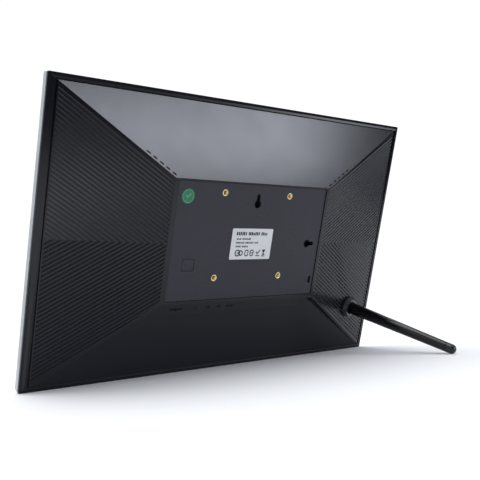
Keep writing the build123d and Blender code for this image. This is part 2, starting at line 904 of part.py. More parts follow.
with BuildPart() as stand_rod:
    with BuildSketch(ROD_SIDE):
        with BuildLine():
            Polyline(
                (0, foot),
                (rod_foot_radius - 0.4, foot),
                (rod_foot_radius, foot + 0.4),
                (joint_radius, joint),
                (0, joint),
                close=True,
            )
        make_face()
    revolve(axis=ROD_LINE)
    with BuildSketch(along(foot)):
        Circle(stud_radius + gap)
    extrude(amount=7.1, mode=Mode.SUBTRACT)
    with BuildSketch(along(joint)):
        Circle(2.5)
    extrude(amount=-5.1, mode=Mode.SUBTRACT)

with BuildPart() as stand_tip:
    with BuildSketch(ROD_SIDE):
        with BuildLine():
            Line((0, joint), (joint_radius, joint))
            Line((joint_radius, joint), (tip_radius, rod_reach))
            CenterArc((0, rod_reach), tip_radius, 0, 90)
            Line((0, rod_reach + tip_radius), (0, joint))
        make_face()
    revolve(axis=ROD_LINE)
    with BuildSketch(along(joint)):
        Circle(2.45)
    extrude(amount=-5)

# ------------------------------------------------------------------ one file for each piece
pieces = {
    "front_bezel": front_bezel,
    "cover_glass": cover_glass,
    "glass_mask": glass_mask,
    "glass_tape": glass_tape,
    "panel_gasket": panel_gasket,
    "lcd_panel": lcd_panel,
    "optical_sheets": optical_sheets,
    "light_guide": light_guide,
    "backlight_leds": backlight_leds,
    "reflector_sheet": reflector_sheet,
    "panel_tray": panel_tray,
    "chassis_plate": chassis_plate,
    "chassis_screws": chassis_screws,
    "back_cover": back_cover,
    "rear_plate": rear_plate,
    "mount_inserts": mount_inserts,
    "lock_slot_plate": lock_slot_plate,
    "rating_label": rating_label,
    "inspection_sticker": inspection_sticker,
    "power_button": power_button,
    "switch_plunger": switch_plunger,
    "power_switch": power_switch,
    "main_board": main_board,
    "board_standoffs": board_standoffs,
    "board_screws": board_screws,
    "processor": processor,
    "heat_spreader": heat_spreader,
    "memory_chips": memory_chips,
    "wifi_module": wifi_module,
    "wifi_aerial": wifi_aerial,
    "board_capacitors": board_capacitors,
    "sd_card_socket": sd_card_socket,
    "headphone_socket": headphone_socket,
    "dc_socket": dc_socket,
    "micro_usb_socket": micro_usb_socket,
    "usb_socket": usb_socket,
    "driver_board": driver_board,
    "driver_chips": driver_chips,
    "cable_connectors": cable_connectors,
    "flat_cable": flat_cable,
    "speaker_left": speaker_left,
    "speaker_right": speaker_right,
    "speaker_cones": speaker_cones,
    "speaker_pads": speaker_pads,
    "stand_collar": stand_collar,
    "stand_nut": stand_nut,
    "stand_washer": stand_washer,
    "stand_stud": stand_stud,
    "stand_rod": stand_rod,
    "stand_tip": stand_tip,
}

os.makedirs("parts", exist_ok=True)
for name, piece in pieces.items():
    piece.part.label = name
    export_step(piece.part, f"parts/{name}.step")
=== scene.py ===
import json
import math
import random

import bmesh
import bpy
from mathutils import Matrix, Vector
from mathutils.bvhtree import BVHTree


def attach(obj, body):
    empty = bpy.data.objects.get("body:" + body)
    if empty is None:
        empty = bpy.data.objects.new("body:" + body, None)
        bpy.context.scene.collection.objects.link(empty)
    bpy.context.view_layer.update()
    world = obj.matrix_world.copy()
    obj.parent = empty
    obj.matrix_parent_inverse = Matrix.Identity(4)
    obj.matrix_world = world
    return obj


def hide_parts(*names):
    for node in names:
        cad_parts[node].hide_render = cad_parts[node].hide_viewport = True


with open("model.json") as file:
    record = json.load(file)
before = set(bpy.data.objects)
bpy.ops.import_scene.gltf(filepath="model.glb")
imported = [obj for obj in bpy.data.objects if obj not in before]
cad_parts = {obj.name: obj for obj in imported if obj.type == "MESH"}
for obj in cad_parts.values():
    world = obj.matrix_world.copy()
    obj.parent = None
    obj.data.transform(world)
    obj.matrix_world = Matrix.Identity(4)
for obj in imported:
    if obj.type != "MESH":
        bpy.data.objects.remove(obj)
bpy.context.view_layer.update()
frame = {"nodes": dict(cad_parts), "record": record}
nodes = frame["nodes"]
record = frame["record"]

MM = 0.001

# ---------------------------------------------------------------- the frame's own directions
# u runs to the right and v up as seen from behind, d runs out of the back. The directions come from
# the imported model: the button is pressed along -d. Their zero comes from the mounting pattern's
# middle, whose place in u, v and d is known in millimetres.
joints = {joint["name"]: joint for joint in record["behaviour"]["joints"]}
mounts = {mount["name"]: mount for mount in record["mounts"]}
INSERTS = (1.4, 7.0)  # middle of the four inserts, u and v
INSERT_TOP = 17.9  # depth of their outer faces
D_AXIS = -Vector(joints["button_press"]["axis"])
U_AXIS = Vector((-1, 0, 0))
V_AXIS = D_AXIS.cross(U_AXIS)
ORIGIN = Vector(mounts["mount_pattern"]["pos_m"]) - MM * (
    INSERTS[0] * U_AXIS + INSERTS[1] * V_AXIS + INSERT_TOP * D_AXIS
)
LOCAL = Matrix.Translation(ORIGIN) @ Matrix((U_AXIS, V_AXIS, D_AXIS)).transposed().to_4x4()
ROD_AXIS = Vector(joints["stand_screw"]["axis"]).normalized()
ROD_FOOT = Vector(joints["stand_screw"]["pos_m"])


def axis_frame(origin, direction):
    """Matrix whose z runs along a direction from an origin."""
    return Matrix.Translation(origin) @ direction.to_track_quat("Z", "Y").to_matrix().to_4x4()


# ---------------------------------------------------------------- camera, light and floor
LENS = 52.94
EYE = Vector((0.4064, 0.46974, 0.07718))
AIM = Vector((-0.00473, -0.03222, 0.11653))
ROLL = math.radians(-2.68)
BACKDROP = 1.05
ROOM_COLOUR = (0.91, 0.94, 1.0, 1)
ROOM_BRIGHT_SIDE = (0.25, -0.6, 0.75)
ROOM_LEVELS = {"From Min": -0.3, "From Max": 0.6, "To Min": 0.08, "To Max": 0.9}
FLOOR_X = (-0.95, 1.3)
FLOOR_Y = (-1.2, 0.42)
FLOOR_COLOUR = (0.9, 0.9, 0.9, 1)

# name, place, point it faces, size, watts, colour
LIGHTS = (
    ("overhead", (0.2, -0.5, 1.8), (0, -0.2, 0), (1.7, 1.7), 27, (1, 1, 1)),
    ("window", (-1.25, 2.10, 0.59), (0, 0, 0.18), (1.5, 0.42), 26, (0.85, 0.89, 1.0)),
    ("strip", (-1.50, 1.38, 1.38), (0, 0, 0.17), (1.3, 0.28), 4.8, (0.88, 0.93, 1.0)),
)


def make_camera():
    """Stands low behind the frame, to its left as seen from behind, and leans a little."""
    data = bpy.data.cameras.new("camera")
    data.lens = LENS
    data.sensor_width = 36
    data.clip_start = 0.01
    camera = bpy.data.objects.new("camera", data)
    bpy.context.scene.collection.objects.link(camera)
    roll = Matrix.Rotation(ROLL, 3, "Z")
    turn = (AIM - EYE).to_track_quat("-Z", "Y").to_matrix()
    camera.matrix_world = Matrix.Translation(EYE) @ (turn @ roll).to_4x4()
    bpy.context.scene.camera = camera


def area_light(name, place, aim, size, watts, colour):
    """Softbox that lights and is reflected, but is not seen by the camera itself."""
    data = bpy.data.lights.new(name, "AREA")
    data.shape = "RECTANGLE"
    data.size, data.size_y = size
    data.energy = watts
    data.color = colour
    light = bpy.data.objects.new(name, data)
    bpy.context.scene.collection.objects.link(light)
    light.location = place
    light.rotation_mode = "QUATERNION"
    light.rotation_quaternion = (Vector(aim) - Vector(place)).to_track_quat("-Z", "Y")
    light.visible_camera = False


def make_world():
    """White backdrop for the camera; other rays see a room, brighter overhead than low down."""
    world = bpy.data.worlds.new("studio")
    bpy.context.scene.world = world
    world.use_nodes = True
    tree = world.node_tree
    room = tree.nodes["Background"]
    room.inputs["Color"].default_value = ROOM_COLOUR
    coords = tree.nodes.new("ShaderNodeTexCoord")
    facing = tree.nodes.new("ShaderNodeVectorMath")
    facing.operation = "DOT_PRODUCT"
    facing.inputs[1].default_value = ROOM_BRIGHT_SIDE
    level = tree.nodes.new("ShaderNodeMapRange")
    for key, number in ROOM_LEVELS.items():
        level.inputs[key].default_value = number
    backdrop = tree.nodes.new("ShaderNodeBackground")
    backdrop.inputs["Color"].default_value = (1, 1, 1, 1)
    backdrop.inputs["Strength"].default_value = BACKDROP
    path = tree.nodes.new("ShaderNodeLightPath")
    mix = tree.nodes.new("ShaderNodeMixShader")
    for output, target in (
        (coords.outputs["Generated"], facing.inputs[0]),
        (facing.outputs["Value"], level.inputs["Value"]),
        (level.outputs["Result"], room.inputs["Strength"]),
        (path.outputs["Is Camera Ray"], mix.inputs[0]),
        (room.outputs["Background"], mix.inputs[1]),
        (backdrop.outputs["Background"], mix.inputs[2]),
        (mix.outputs["Shader"], tree.nodes["World Output"].inputs["Surface"]),
    ):
        tree.links.new(output, target)


def make_floor():
    """Plain pale floor, seen only from above."""
    (left, right), (back, front) = FLOOR_X, FLOOR_Y
    corners = [(left, back, 0), (right, back, 0), (right, front, 0), (left, front, 0)]
    mesh = bpy.data.meshes.new("floor")
    mesh.from_pydata(corners, [], [(0, 1, 2, 3)])
    floor = bpy.data.objects.new("floor", mesh)
    bpy.context.scene.collection.objects.link(floor)
    material = bpy.data.materials.new("floor")
    material.use_nodes = True
    shader = material.node_tree.nodes["Principled BSDF"]
    shader.inputs["Base Color"].default_value = FLOOR_COLOUR
    shader.inputs["Roughness"].default_value = 0.9
    shader.inputs["Specular IOR Level"].default_value = 0.1
    tree = material.node_tree
    side = tree.nodes.new("ShaderNodeNewGeometry")
    clear = tree.nodes.new("ShaderNodeBsdfTransparent")
    mix = tree.nodes.new("ShaderNodeMixShader")
    tree.links.new(side.outputs["Backfacing"], mix.inputs[0])
    tree.links.new(shader.outputs["BSDF"], mix.inputs[1])
    tree.links.new(clear.outputs["BSDF"], mix.inputs[2])
    tree.links.new(mix.outputs["Shader"], tree.nodes["Material Output"].inputs["Surface"])
    mesh.materials.append(material)


make_camera()
make_world()
make_floor()
bpy.context.scene.view_settings.view_transform = "Standard"
for light in LIGHTS:
    area_light(*light)


# ---------------------------------------------------------------- materials
def shade(colour, factor):
    return tuple(min(1.0, channel * factor) for channel in colour)


class Mixer:
    """Wires the nodes of one material."""

    def __init__(self, name):
        self.material = bpy.data.materials.new(name)
        self.material.use_nodes = True
        self.tree = self.material.node_tree
        self.shader = self.tree.nodes["Principled BSDF"]
        self.coords = self.add("ShaderNodeTexCoord").outputs["Object"]

    def add(self, kind, **settings):
        node = self.tree.nodes.new(kind)
        for key, value in settings.items():
            setattr(node, key, value)
        return node

    def feed(self, target, value):
        if isinstance(value, (int, float)):
            target.default_value = value
        else:
            self.tree.links.new(value, target)

    def set(self, **values):
        for key, value in values.items():
            self.shader.inputs[key.replace("_", " ")].default_value = value

    def out(self, **values):
        for key, value in values.items():
            self.tree.links.new(value, self.shader.inputs[key.replace("_", " ")])

    def stretched(self, scale):
        node = self.add("ShaderNodeMapping")
        node.inputs["Scale"].default_value = scale
        self.tree.links.new(self.coords, node.inputs["Vector"])
        return node.outputs["Vector"]

    def along(self, direction):
        """Distance in metres along one direction."""
        node = self.add("ShaderNodeVectorMath", operation="DOT_PRODUCT")
        node.inputs[1].default_value = direction
        self.tree.links.new(self.coords, node.inputs[0])
        return node.outputs["Value"]

    def noise(self, scale, detail=3.0, rough=0.55, stretch=None):
        node = self.add("ShaderNodeTexNoise")
        node.inputs["Scale"].default_value = scale
        node.inputs["Detail"].default_value = detail
        node.inputs["Roughness"].default_value = rough
        source = self.stretched(stretch) if stretch else self.coords
        self.tree.links.new(source, node.inputs["Vector"])
        return node.outputs["Fac"]

    def cells(self, scale, feature="F1", stretch=None):
        node = self.add("ShaderNodeTexVoronoi", feature=feature)
        node.inputs["Scale"].default_value = scale
        source = self.stretched(stretch) if stretch else self.coords
        self.tree.links.new(source, node.inputs["Vector"])
        return node.outputs["Distance"]

    def ramp(self, value, *stops):
        node = self.add("ShaderNodeValToRGB")
        elements = node.color_ramp.elements
        while len(elements) < len(stops):
            elements.new(0.5)
        for element, (position, colour) in zip(elements, stops):
            element.position = position
            element.color = (*colour, 1)
        self.tree.links.new(value, node.inputs["Fac"])
        return node.outputs["Color"]

    def span(self, value, low, high, start=0.3, stop=0.7):
        node = self.add("ShaderNodeMapRange")
        numbers = {"From Min": start, "From Max": stop, "To Min": low, "To Max": high}
        for key, number in numbers.items():
            node.inputs[key].default_value = number
        self.tree.links.new(value, node.inputs["Value"])
        return node.outputs["Result"]

    def math(self, operation, a, b=0.0):
        node = self.add("ShaderNodeMath", operation=operation)
        self.feed(node.inputs[0], a)
        self.feed(node.inputs[1], b)
        return node.outputs["Value"]

    def blend(self, share, a, b, kind="MIX"):
        node = self.add("ShaderNodeMix", data_type="RGBA", blend_type=kind)
        self.feed(node.inputs[0], share)
        for socket, value in ((node.inputs[6], a), (node.inputs[7], b)):
            if isinstance(value, tuple):
                socket.default_value = (*value, 1)
            else:
                self.tree.links.new(value, socket)
        return node.outputs[2]

    def bump(self, height, strength, distance, normal=None):
        node = self.add("ShaderNodeBump")
        node.inputs["Strength"].default_value = strength
        node.inputs["Distance"].default_value = distance
        self.tree.links.new(height, node.inputs["Height"])
        if normal:
            self.tree.links.new(normal, node.inputs["Normal"])
        return node.outputs["Normal"]


def scratches(mix, scale=60.0, thin=0.62):
    """Faint handling marks: two families of long noise, cut to their peaks."""
    first = mix.span(mix.noise(scale, 4.0, 0.6, (9.0, 1.0, 1.4)), 0.0, 1.0, thin, thin + 0.06)
    second = mix.span(mix.noise(scale, 4.0, 0.6, (1.0, 2.2, 10.0)), 0.0, 1.0, thin, thin + 0.06)
    return mix.math("MAXIMUM", first, second)


def moulded(
    name, colour, rough, grain=2200.0, depth=0.00001, specular=0.5, spread=0.04, wear=0.05
):
    """Injection-moulded plastic: cloudy colour, uneven gloss, moulded grain and faint scratches."""
    mix = Mixer(name)
    cloud = mix.noise(14.0, 4.0)
    marks = scratches(mix)
    tone = mix.ramp(cloud, (0.3, shade(colour, 0.86)), (0.7, shade(colour, 1.14)))
    patch = mix.span(mix.noise(55.0, 5.0, 0.65), rough - spread, rough + spread)
    worn = mix.math("MULTIPLY", marks, wear)
    fine = mix.noise(grain, 2.0)
    mix.out(
        Base_Color=mix.blend(mix.math("MULTIPLY", marks, 0.35), tone, shade(colour, 2.2)),
        Roughness=mix.math("ADD", patch, worn),
        Normal=mix.bump(fine, 0.3, depth),
    )
    mix.set(Specular_IOR_Level=specular)
    return mix.material


def metal(name, colour, rough, grain=900.0, stretch=None, depth=0.00001, metallic=1.0):
    """Bare, plated or painted metal: colour drift, drawn or rolled grain, small scratches."""
    mix = Mixer(name)
    cloud = mix.noise(30.0, 4.0)
    lines = mix.noise(grain, 3.0, 0.6, stretch)
    marks = scratches(mix, 90.0)
    tone = mix.ramp(cloud, (0.3, shade(colour, 0.84)), (0.7, shade(colour, 1.08)))
    worn = mix.math("MULTIPLY", marks, 0.08)
    mix.out(
        Base_Color=mix.blend(mix.math("MULTIPLY", marks, 0.4), tone, shade(colour, 1.25)),
        Roughness=mix.math("ADD", mix.span(lines, rough - 0.06, rough + 0.08), worn),
        Normal=mix.bump(lines, 0.25, depth),
    )
    mix.set(Metallic=metallic)
    return mix.material


def cover_material():
    """Glossy black shell: very fine grain, uneven polish, faint scratches and a little dust."""
    mix = Mixer("cover_black")
    base = (0.0040, 0.0040, 0.0075)
    cloud = mix.noise(9.0, 5.0, 0.6)
    dust = mix.span(mix.cells(420.0), 1.0, 0.0, 0.0, 0.10)
    sparse = mix.span(mix.noise(38.0, 2.0), 0.0, 1.0, 0.62, 0.70)
    specks = mix.math("MULTIPLY", dust, sparse)
    tone = mix.ramp(cloud, (0.3, shade(base, 0.8)), (0.7, shade(base, 1.25)))
    marks = scratches(mix, 45.0, 0.64)
    gloss = mix.span(mix.noise(40.0, 6.0, 0.7), 0.20, 0.235)
    grain = mix.noise(2600.0, 2.0)
    mix.out(
        Base_Color=mix.blend(specks, tone, (0.12, 0.12, 0.13)),
        Roughness=mix.math("ADD", gloss, mix.math("MULTIPLY", marks, 0.012)),
        Normal=mix.bump(grain, 0.12, 0.000008),
    )
    mix.set(Specular_IOR_Level=0.36)
    return mix.material


def plate_material():
    """Spark-eroded charcoal plastic: fine pitted texture, matte, with slightly shiny peaks and
    painted shade in the grain's hollows.
    """
    mix = Mixer("plate_charcoal")
    base = (0.0262, 0.0270, 0.0360)
    cloud = mix.noise(11.0, 4.0, 0.6)
    pits = mix.cells(1500.0)
    grain = mix.noise(1100.0, 4.0, 0.7)
    tone = mix.ramp(cloud, (0.3, shade(base, 0.9)), (0.7, shade(base, 1.12)))
    # Painted shade: where the grain sets the bump low, the colour is darkened, as if shade fell in
    # the hollows.
    painted_hollow_shade = mix.ramp(grain, (0.35, (0.72, 0.72, 0.72)), (0.65, (1.0, 1.0, 1.0)))
    mix.out(
        Base_Color=mix.blend(1.0, tone, painted_hollow_shade, "MULTIPLY"),
        Roughness=mix.span(grain, 0.62, 0.46),
        Normal=mix.bump(mix.math("ADD", mix.math("MULTIPLY", pits, 0.6), grain), 0.35, 0.00003),
    )
    mix.set(Specular_IOR_Level=0.35)
    return mix.material


def board_material():
    """Green solder mask over copper traces, with tinned pads."""
    mix = Mixer("circuit_board")
    traces = mix.span(mix.cells(260.0, "DISTANCE_TO_EDGE", (1.0, 1.0, 2.2)), 1.0, 0.0, 0.02, 0.05)
    pads = mix.span(mix.cells(330.0), 1.0, 0.0, 0.10, 0.13)
    mask = mix.ramp(mix.noise(25.0, 4.0), (0.3, (0.006, 0.075, 0.028)), (0.7, (0.009, 0.11, 0.042)))
    lit = mix.blend(traces, mask, (0.02, 0.22, 0.08))
    mix.out(
        Base_Color=mix.blend(pads, lit, (0.72, 0.68, 0.55)),
        Metallic=mix.math("MULTIPLY", pads, 0.9),
        Roughness=mix.span(mix.noise(400.0), 0.26, 0.36),
        Normal=mix.bump(mix.math("ADD", traces, pads), 0.4, 0.00003),
    )
    return mix.material


def glass_material():
    """Clear glass with a slight green cast and faint smears."""
    mix = Mixer("clear_glass")
    mix.out(
        Base_Color=mix.ramp(mix.noise(5.0), (0.0, (0.93, 0.955, 0.95)), (1.0, (0.96, 0.975, 0.97))),
        Roughness=mix.span(mix.noise(30.0, 5.0, 0.7), 0.012, 0.05),
    )
    mix.set(Transmission_Weight=1.0, IOR=1.5)
    return mix.material


def display_material():
    """Switched-off display: near black, with its faint grid of picture cells."""
    mix = Mixer("display")
    cell = math.tau / 0.00018
    columns = mix.math("SINE", mix.math("MULTIPLY", mix.along(U_AXIS), cell))
    rows = mix.math("SINE", mix.math("MULTIPLY", mix.along(V_AXIS), cell))
    grid = mix.math("MULTIPLY", columns, rows)
    tone = mix.ramp(mix.noise(6.0, 3.0), (0.3, (0.010, 0.011, 0.014)), (0.7, (0.013, 0.014, 0.018)))
    mix.out(
        Base_Color=mix.blend(mix.span(grid, 0.0, 0.3, -1.0, 1.0), tone, (0.020, 0.022, 0.028)),
        Roughness=mix.span(mix.noise(900.0), 0.22, 0.30),
    )
    return mix.material


def soft_material(name, colour, scale, depth, rough=0.85):
    """Foam, rubber, cloth or tape: open cells in relief, with painted shade that darkens each
    cell's pit.
    """
    mix = Mixer(name)
    pores = mix.cells(scale)
    # Painted shade: the colour darkens towards each cell's middle, where the bump makes the relief
    # lowest.
    tone = mix.ramp(pores, (0.0, shade(colour, 0.5)), (0.5, shade(colour, 1.2)))
    mix.out(
        Base_Color=mix.blend(mix.span(mix.noise(20.0), 0.0, 0.4), tone, shade(colour, 0.8)),
        Roughness=mix.span(mix.noise(200.0), rough - 0.08, rough + 0.08),
        Normal=mix.bump(pores, 0.6, depth),
    )
    mix.set(Specular_IOR_Level=0.25)
    return mix.material


def striped_material(name, light, dark, pitch, direction, rough):
    """Ribbon or strip with fine parallel lines, such as conductors."""
    mix = Mixer(name)
    wave = mix.math("SINE", mix.math("MULTIPLY", mix.along(direction), math.tau / pitch))
    tone = mix.blend(mix.span(wave, 0.0, 1.0, -0.2, 0.4), light, dark)
    mix.out(
        Base_Color=mix.blend(mix.span(mix.noise(40.0), 0.0, 0.25), tone, shade(light, 0.8)),
        Roughness=mix.span(mix.noise(150.0), rough - 0.05, rough + 0.08),
        Normal=mix.bump(wave, 0.2, 0.00003),
    )
    return mix.material


def sticker_material():
    """Green film with a fine security pattern."""
    mix = Mixer("green_film")
    fine = mix.cells(900.0, "DISTANCE_TO_EDGE")
    tone = mix.ramp(mix.noise(60.0, 3.0), (0.3, (0.010, 0.125, 0.052)), (0.7, (0.015, 0.16, 0.068)))
    mix.out(
        Base_Color=mix.blend(mix.span(fine, 0.5, 0.0, 0.0, 0.10), tone, (0.04, 0.22, 0.12)),
        Roughness=mix.span(mix.noise(300.0), 0.32, 0.45),
        Normal=mix.bump(mix.noise(120.0), 0.15, 0.00003),
    )
    return mix.material


def label_material():
    """White film label, a little uneven and yellowed."""
    mix = Mixer("label_film")
    tone = mix.ramp(mix.noise(35.0, 5.0), (0.3, (0.60, 0.61, 0.625)), (0.7, (0.66, 0.67, 0.685)))
    mix.out(
        Base_Color=mix.blend(mix.span(mix.noise(6.0), 0.0, 0.3), tone, (0.63, 0.62, 0.58)),
        Roughness=mix.span(mix.noise(250.0), 0.40, 0.52),
        Normal=mix.bump(mix.noise(90.0, 4.0), 0.2, 0.00004),
    )
    return mix.material


cover_black = cover_material()
plate_charcoal = plate_material()
silver_paint = metal("silver_paint", (0.50, 0.52, 0.54), 0.40, 1400.0, None, 0.00001, 0.75)
rod_gloss = moulded("rod_gloss", (0.0030, 0.0030, 0.0045), 0.09, 900.0, 0.000003, 0.38, 0.02, 0.02)
tip_rubber = moulded("tip_rubber", (0.006, 0.006, 0.008), 0.24, 1500.0, 0.00001, 0.45)
collar_satin = moulded("collar_satin", (0.008, 0.008, 0.011), 0.30, 1800.0, 0.00001, 0.5)
black_print = moulded("black_print", (0.010, 0.010, 0.011), 0.45, 3000.0, 0.000004, 0.3)
mark_print = moulded("mark_print", (0.0012, 0.0012, 0.0014), 0.55, 3000.0, 0.000004, 0.12)
brass = metal("brass", (0.80, 0.64, 0.33), 0.20, 1500.0, (1.0, 1.0, 8.0))
zinc = metal("zinc", (0.55, 0.56, 0.58), 0.32, 700.0)
tinplate = metal("tinplate", (0.62, 0.63, 0.64), 0.24, 1200.0, (6.0, 1.0, 1.0))
sheet_steel = metal("sheet_steel", (0.47, 0.48, 0.49), 0.36, 400.0, (8.0, 1.0, 1.0))
aluminium = metal("aluminium", (0.74, 0.75, 0.76), 0.33, 600.0, (1.0, 1.0, 10.0))
socket_black = moulded("socket_black", (0.010, 0.010, 0.011), 0.42)
chip_black = moulded("chip_black", (0.014, 0.014, 0.015), 0.50, 1200.0, 0.00004)
nylon = moulded("nylon", (0.66, 0.63, 0.55), 0.42, 1600.0)
speaker_black = moulded("speaker_black", (0.018, 0.018, 0.019), 0.5)

FINISHES = {
    "bezel_silver": silver_paint,
    "front_glass": glass_material(),
    "black_print": black_print,
    "adhesive_tape": soft_material("adhesive_tape", (0.035, 0.035, 0.035), 1200.0, 0.00004),
    "black_foam": soft_material("black_foam", (0.022, 0.022, 0.023), 1600.0, 0.00012, 0.9),
    "display_glass": display_material(),
    "film": moulded("white_film", (0.80, 0.81, 0.82), 0.38, 1800.0),
    "acrylic": striped_material(
        "light_guide", (0.80, 0.84, 0.86), (0.90, 0.92, 0.93), 0.0012, V_AXIS, 0.12
    ),
    "led_strip": striped_material(
        "led_strip", (0.78, 0.76, 0.62), (0.70, 0.55, 0.16), 0.0047, U_AXIS, 0.4
    ),
    "tray_steel": sheet_steel,
    "chassis_steel": sheet_steel,
    "screw_steel": zinc,
    "cover_plastic": cover_black,
    "plate_plastic": plate_charcoal,
    "brass": brass,
    "label_film": label_material(),
    "green_sticker": sticker_material(),
    "button_plastic": plate_charcoal,
    "switch_black": socket_black,
    "circuit_board": board_material(),
    "chip_black": chip_black,
    "heat_spreader": aluminium,
    "shield_steel": tinplate,
    "capacitor_can": aluminium,
    "socket_steel": tinplate,
    "socket_black": socket_black,
    "cable_film": striped_material(
        "cable_film", (0.74, 0.75, 0.77), (0.45, 0.46, 0.48), 0.001, U_AXIS, 0.35
    ),
    "connector_white": nylon,
    "speaker_frame": speaker_black,
    "speaker_cone": soft_material("speaker_cone", (0.04, 0.04, 0.042), 900.0, 0.00008, 0.7),
    "aerial_film": striped_material(
        "aerial_film", (0.50, 0.30, 0.10), (0.72, 0.40, 0.18), 0.003, U_AXIS, 0.3
    ),
    "collar_plastic": collar_satin,
    "washer_rubber": soft_material("washer_rubber", (0.014, 0.014, 0.015), 1500.0, 0.00003, 0.6),
    "stud_steel": zinc,
    "rod_black": rod_gloss,
    "tip_rubber": tip_rubber,
}


def paint(item, material):
    """Gives an object a material in every slot."""
    data = item.data
    if not data.materials:
        data.materials.append(material)
    for index in range(len(data.materials)):
        data.materials[index] = material


for part in record["subparts"]:
    paint(nodes[part["node"]], FINISHES[part["material_slot"]])


# ---------------------------------------------------------------- softened edges on the CAD shells
WELD_GAP = 0.000002
BEVEL_STEPS = 2
BEVEL_ANGLE = math.radians(32)


def soften(node, width):
    """Joins the shell's facets and rounds its edges, which stay flat-shaded."""
    item = nodes[node]
    for face in item.data.polygons:
        face.use_smooth = False
    weld = item.modifiers.new("weld", "WELD")
    weld.merge_threshold = WELD_GAP
    bevel = item.modifiers.new("edges", "BEVEL")
    bevel.width = width
    bevel.segments = BEVEL_STEPS
    bevel.limit_method = "ANGLE"
    bevel.angle_limit = BEVEL_ANGLE


for node, width in (
    ("back_cover", 0.00016),
    ("rear_plate", 0.00022),
    ("front_bezel", 0.00035),
    ("power_button", 0.00042),
    ("stand_collar", 0.0003),
    ("usb_socket", 0.00012),
    ("micro_usb_socket", 0.0001),
    ("sd_card_socket", 0.00012),
    ("cover_glass", 0.0002),
):
    soften(node, width)


# ---------------------------------------------------------------- mesh helpers
def make_piece(name, build, matrix, body, material, smooth=True):
    """One piece from a bmesh in millimetres, placed by a matrix in metres."""
    mesh = bpy.data.meshes.new(name)
    build.transform(matrix @ Matrix.Scale(MM, 4))
    bmesh.ops.recalc_face_normals(build, faces=build.faces)
    build.to_mesh(mesh)
    build.free()
    piece = bpy.data.objects.new(name, mesh)
    bpy.context.scene.collection.objects.link(piece)
    for face in mesh.polygons:
        face.use_smooth = smooth
    paint(piece, material)
    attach(piece, body)
    return piece


def turned(build, profile, steps, offset=(0.0, 0.0), radius=None):
    """Sweeps (height, radius) points round an axis; a function may change the radius by angle."""
    rows = []
    for height, base in profile:
        row = []
        for step in range(steps):
            angle = math.tau * step / steps
            reach = radius(angle, height, base) if radius else base
            x = offset[0] + reach * math.cos(angle)
            y = offset[1] + reach * math.sin(angle)
            row.append(build.verts.new((x, y, height)))
        rows.append(row)
    for low, high in zip(rows, rows[1:]):
        for step in range(steps):
            after = (step + 1) % steps
            build.faces.new((low[step], low[after], high[after], high[step]))
    return rows


def helix(pitch, depth):
    """Radius of a right-hand thread whose crests reach the base radius."""

    def reach(angle, height, base):
        phase = (height / pitch - angle / math.tau) % 1.0
        return base - depth * (1.0 - abs(2.0 * phase - 1.0))

    return reach


def plate(build, outline, low, high):
    """Flat prism from an outline."""
    count = len(outline)
    bottom = [build.verts.new((x, y, low)) for x, y in outline]
    top = [build.verts.new((x, y, high)) for x, y in outline]
    build.faces.new(reversed(bottom))
    build.faces.new(top)
    for index in range(count):
        after = (index + 1) % count
        build.faces.new((bottom[index], bottom[after], top[after], top[index]))


def band(build, outer, inner, low, high):
    """Flat ring between two outlines with the same number of points."""
    count = len(outer)
    levels = []
    for outline, depth in ((outer, low), (outer, high), (inner, high), (inner, low)):
        levels.append([build.verts.new((x, y, depth)) for x, y in outline])
    for first, second in zip(levels, levels[1:] + levels[:1]):
        for index in range(count):
            after = (index + 1) % count
            build.faces.new((first[index], first[after], second[after], second[index]))


def rounded(u, v, wide, high, radius, turns=3):
    """Outline of a rounded rectangle."""
    points = []
    for quarter, (sx, sy) in enumerate(((1, 1), (-1, 1), (-1, -1), (1, -1))):
        for step in range(turns + 1):
            angle = math.radians(90 * (quarter + step / turns))
            points.append(
                (
                    u + sx * (wide / 2 - radius) + radius * math.cos(angle),
                    v + sy * (high / 2 - radius) + radius * math.sin(angle),
                )
            )
    return points


def circle(u, v, radius, steps=24):
    angles = [math.tau * step / steps for step in range(steps)]
    return [(u + radius * math.cos(a), v + radius * math.sin(a)) for a in angles]


# ---------------------------------------------------------------- rod, rubber tip and threaded stud
# Heights run along the rod from its joint's point, in millimetres.
ROD = axis_frame(ROD_FOOT, ROD_AXIS)
ROD_START = 4.44
ROD_JOINT = 114.95  # where the rubber tip starts
TIP_CENTRE = 119.95
FOOT_RADIUS = 6.15
TIP_RADIUS = 4.65
SOCKET_DEPTH = 6.8  # bore for the stud in the rod's foot
SOCKET_RADIUS = 3.02
ROD_STEPS = 96


def taper(s):
    """The rod's radius at a height."""
    share = (s - ROD_START) / (TIP_CENTRE - ROD_START)
    return FOOT_RADIUS + (TIP_RADIUS - FOOT_RADIUS) * share


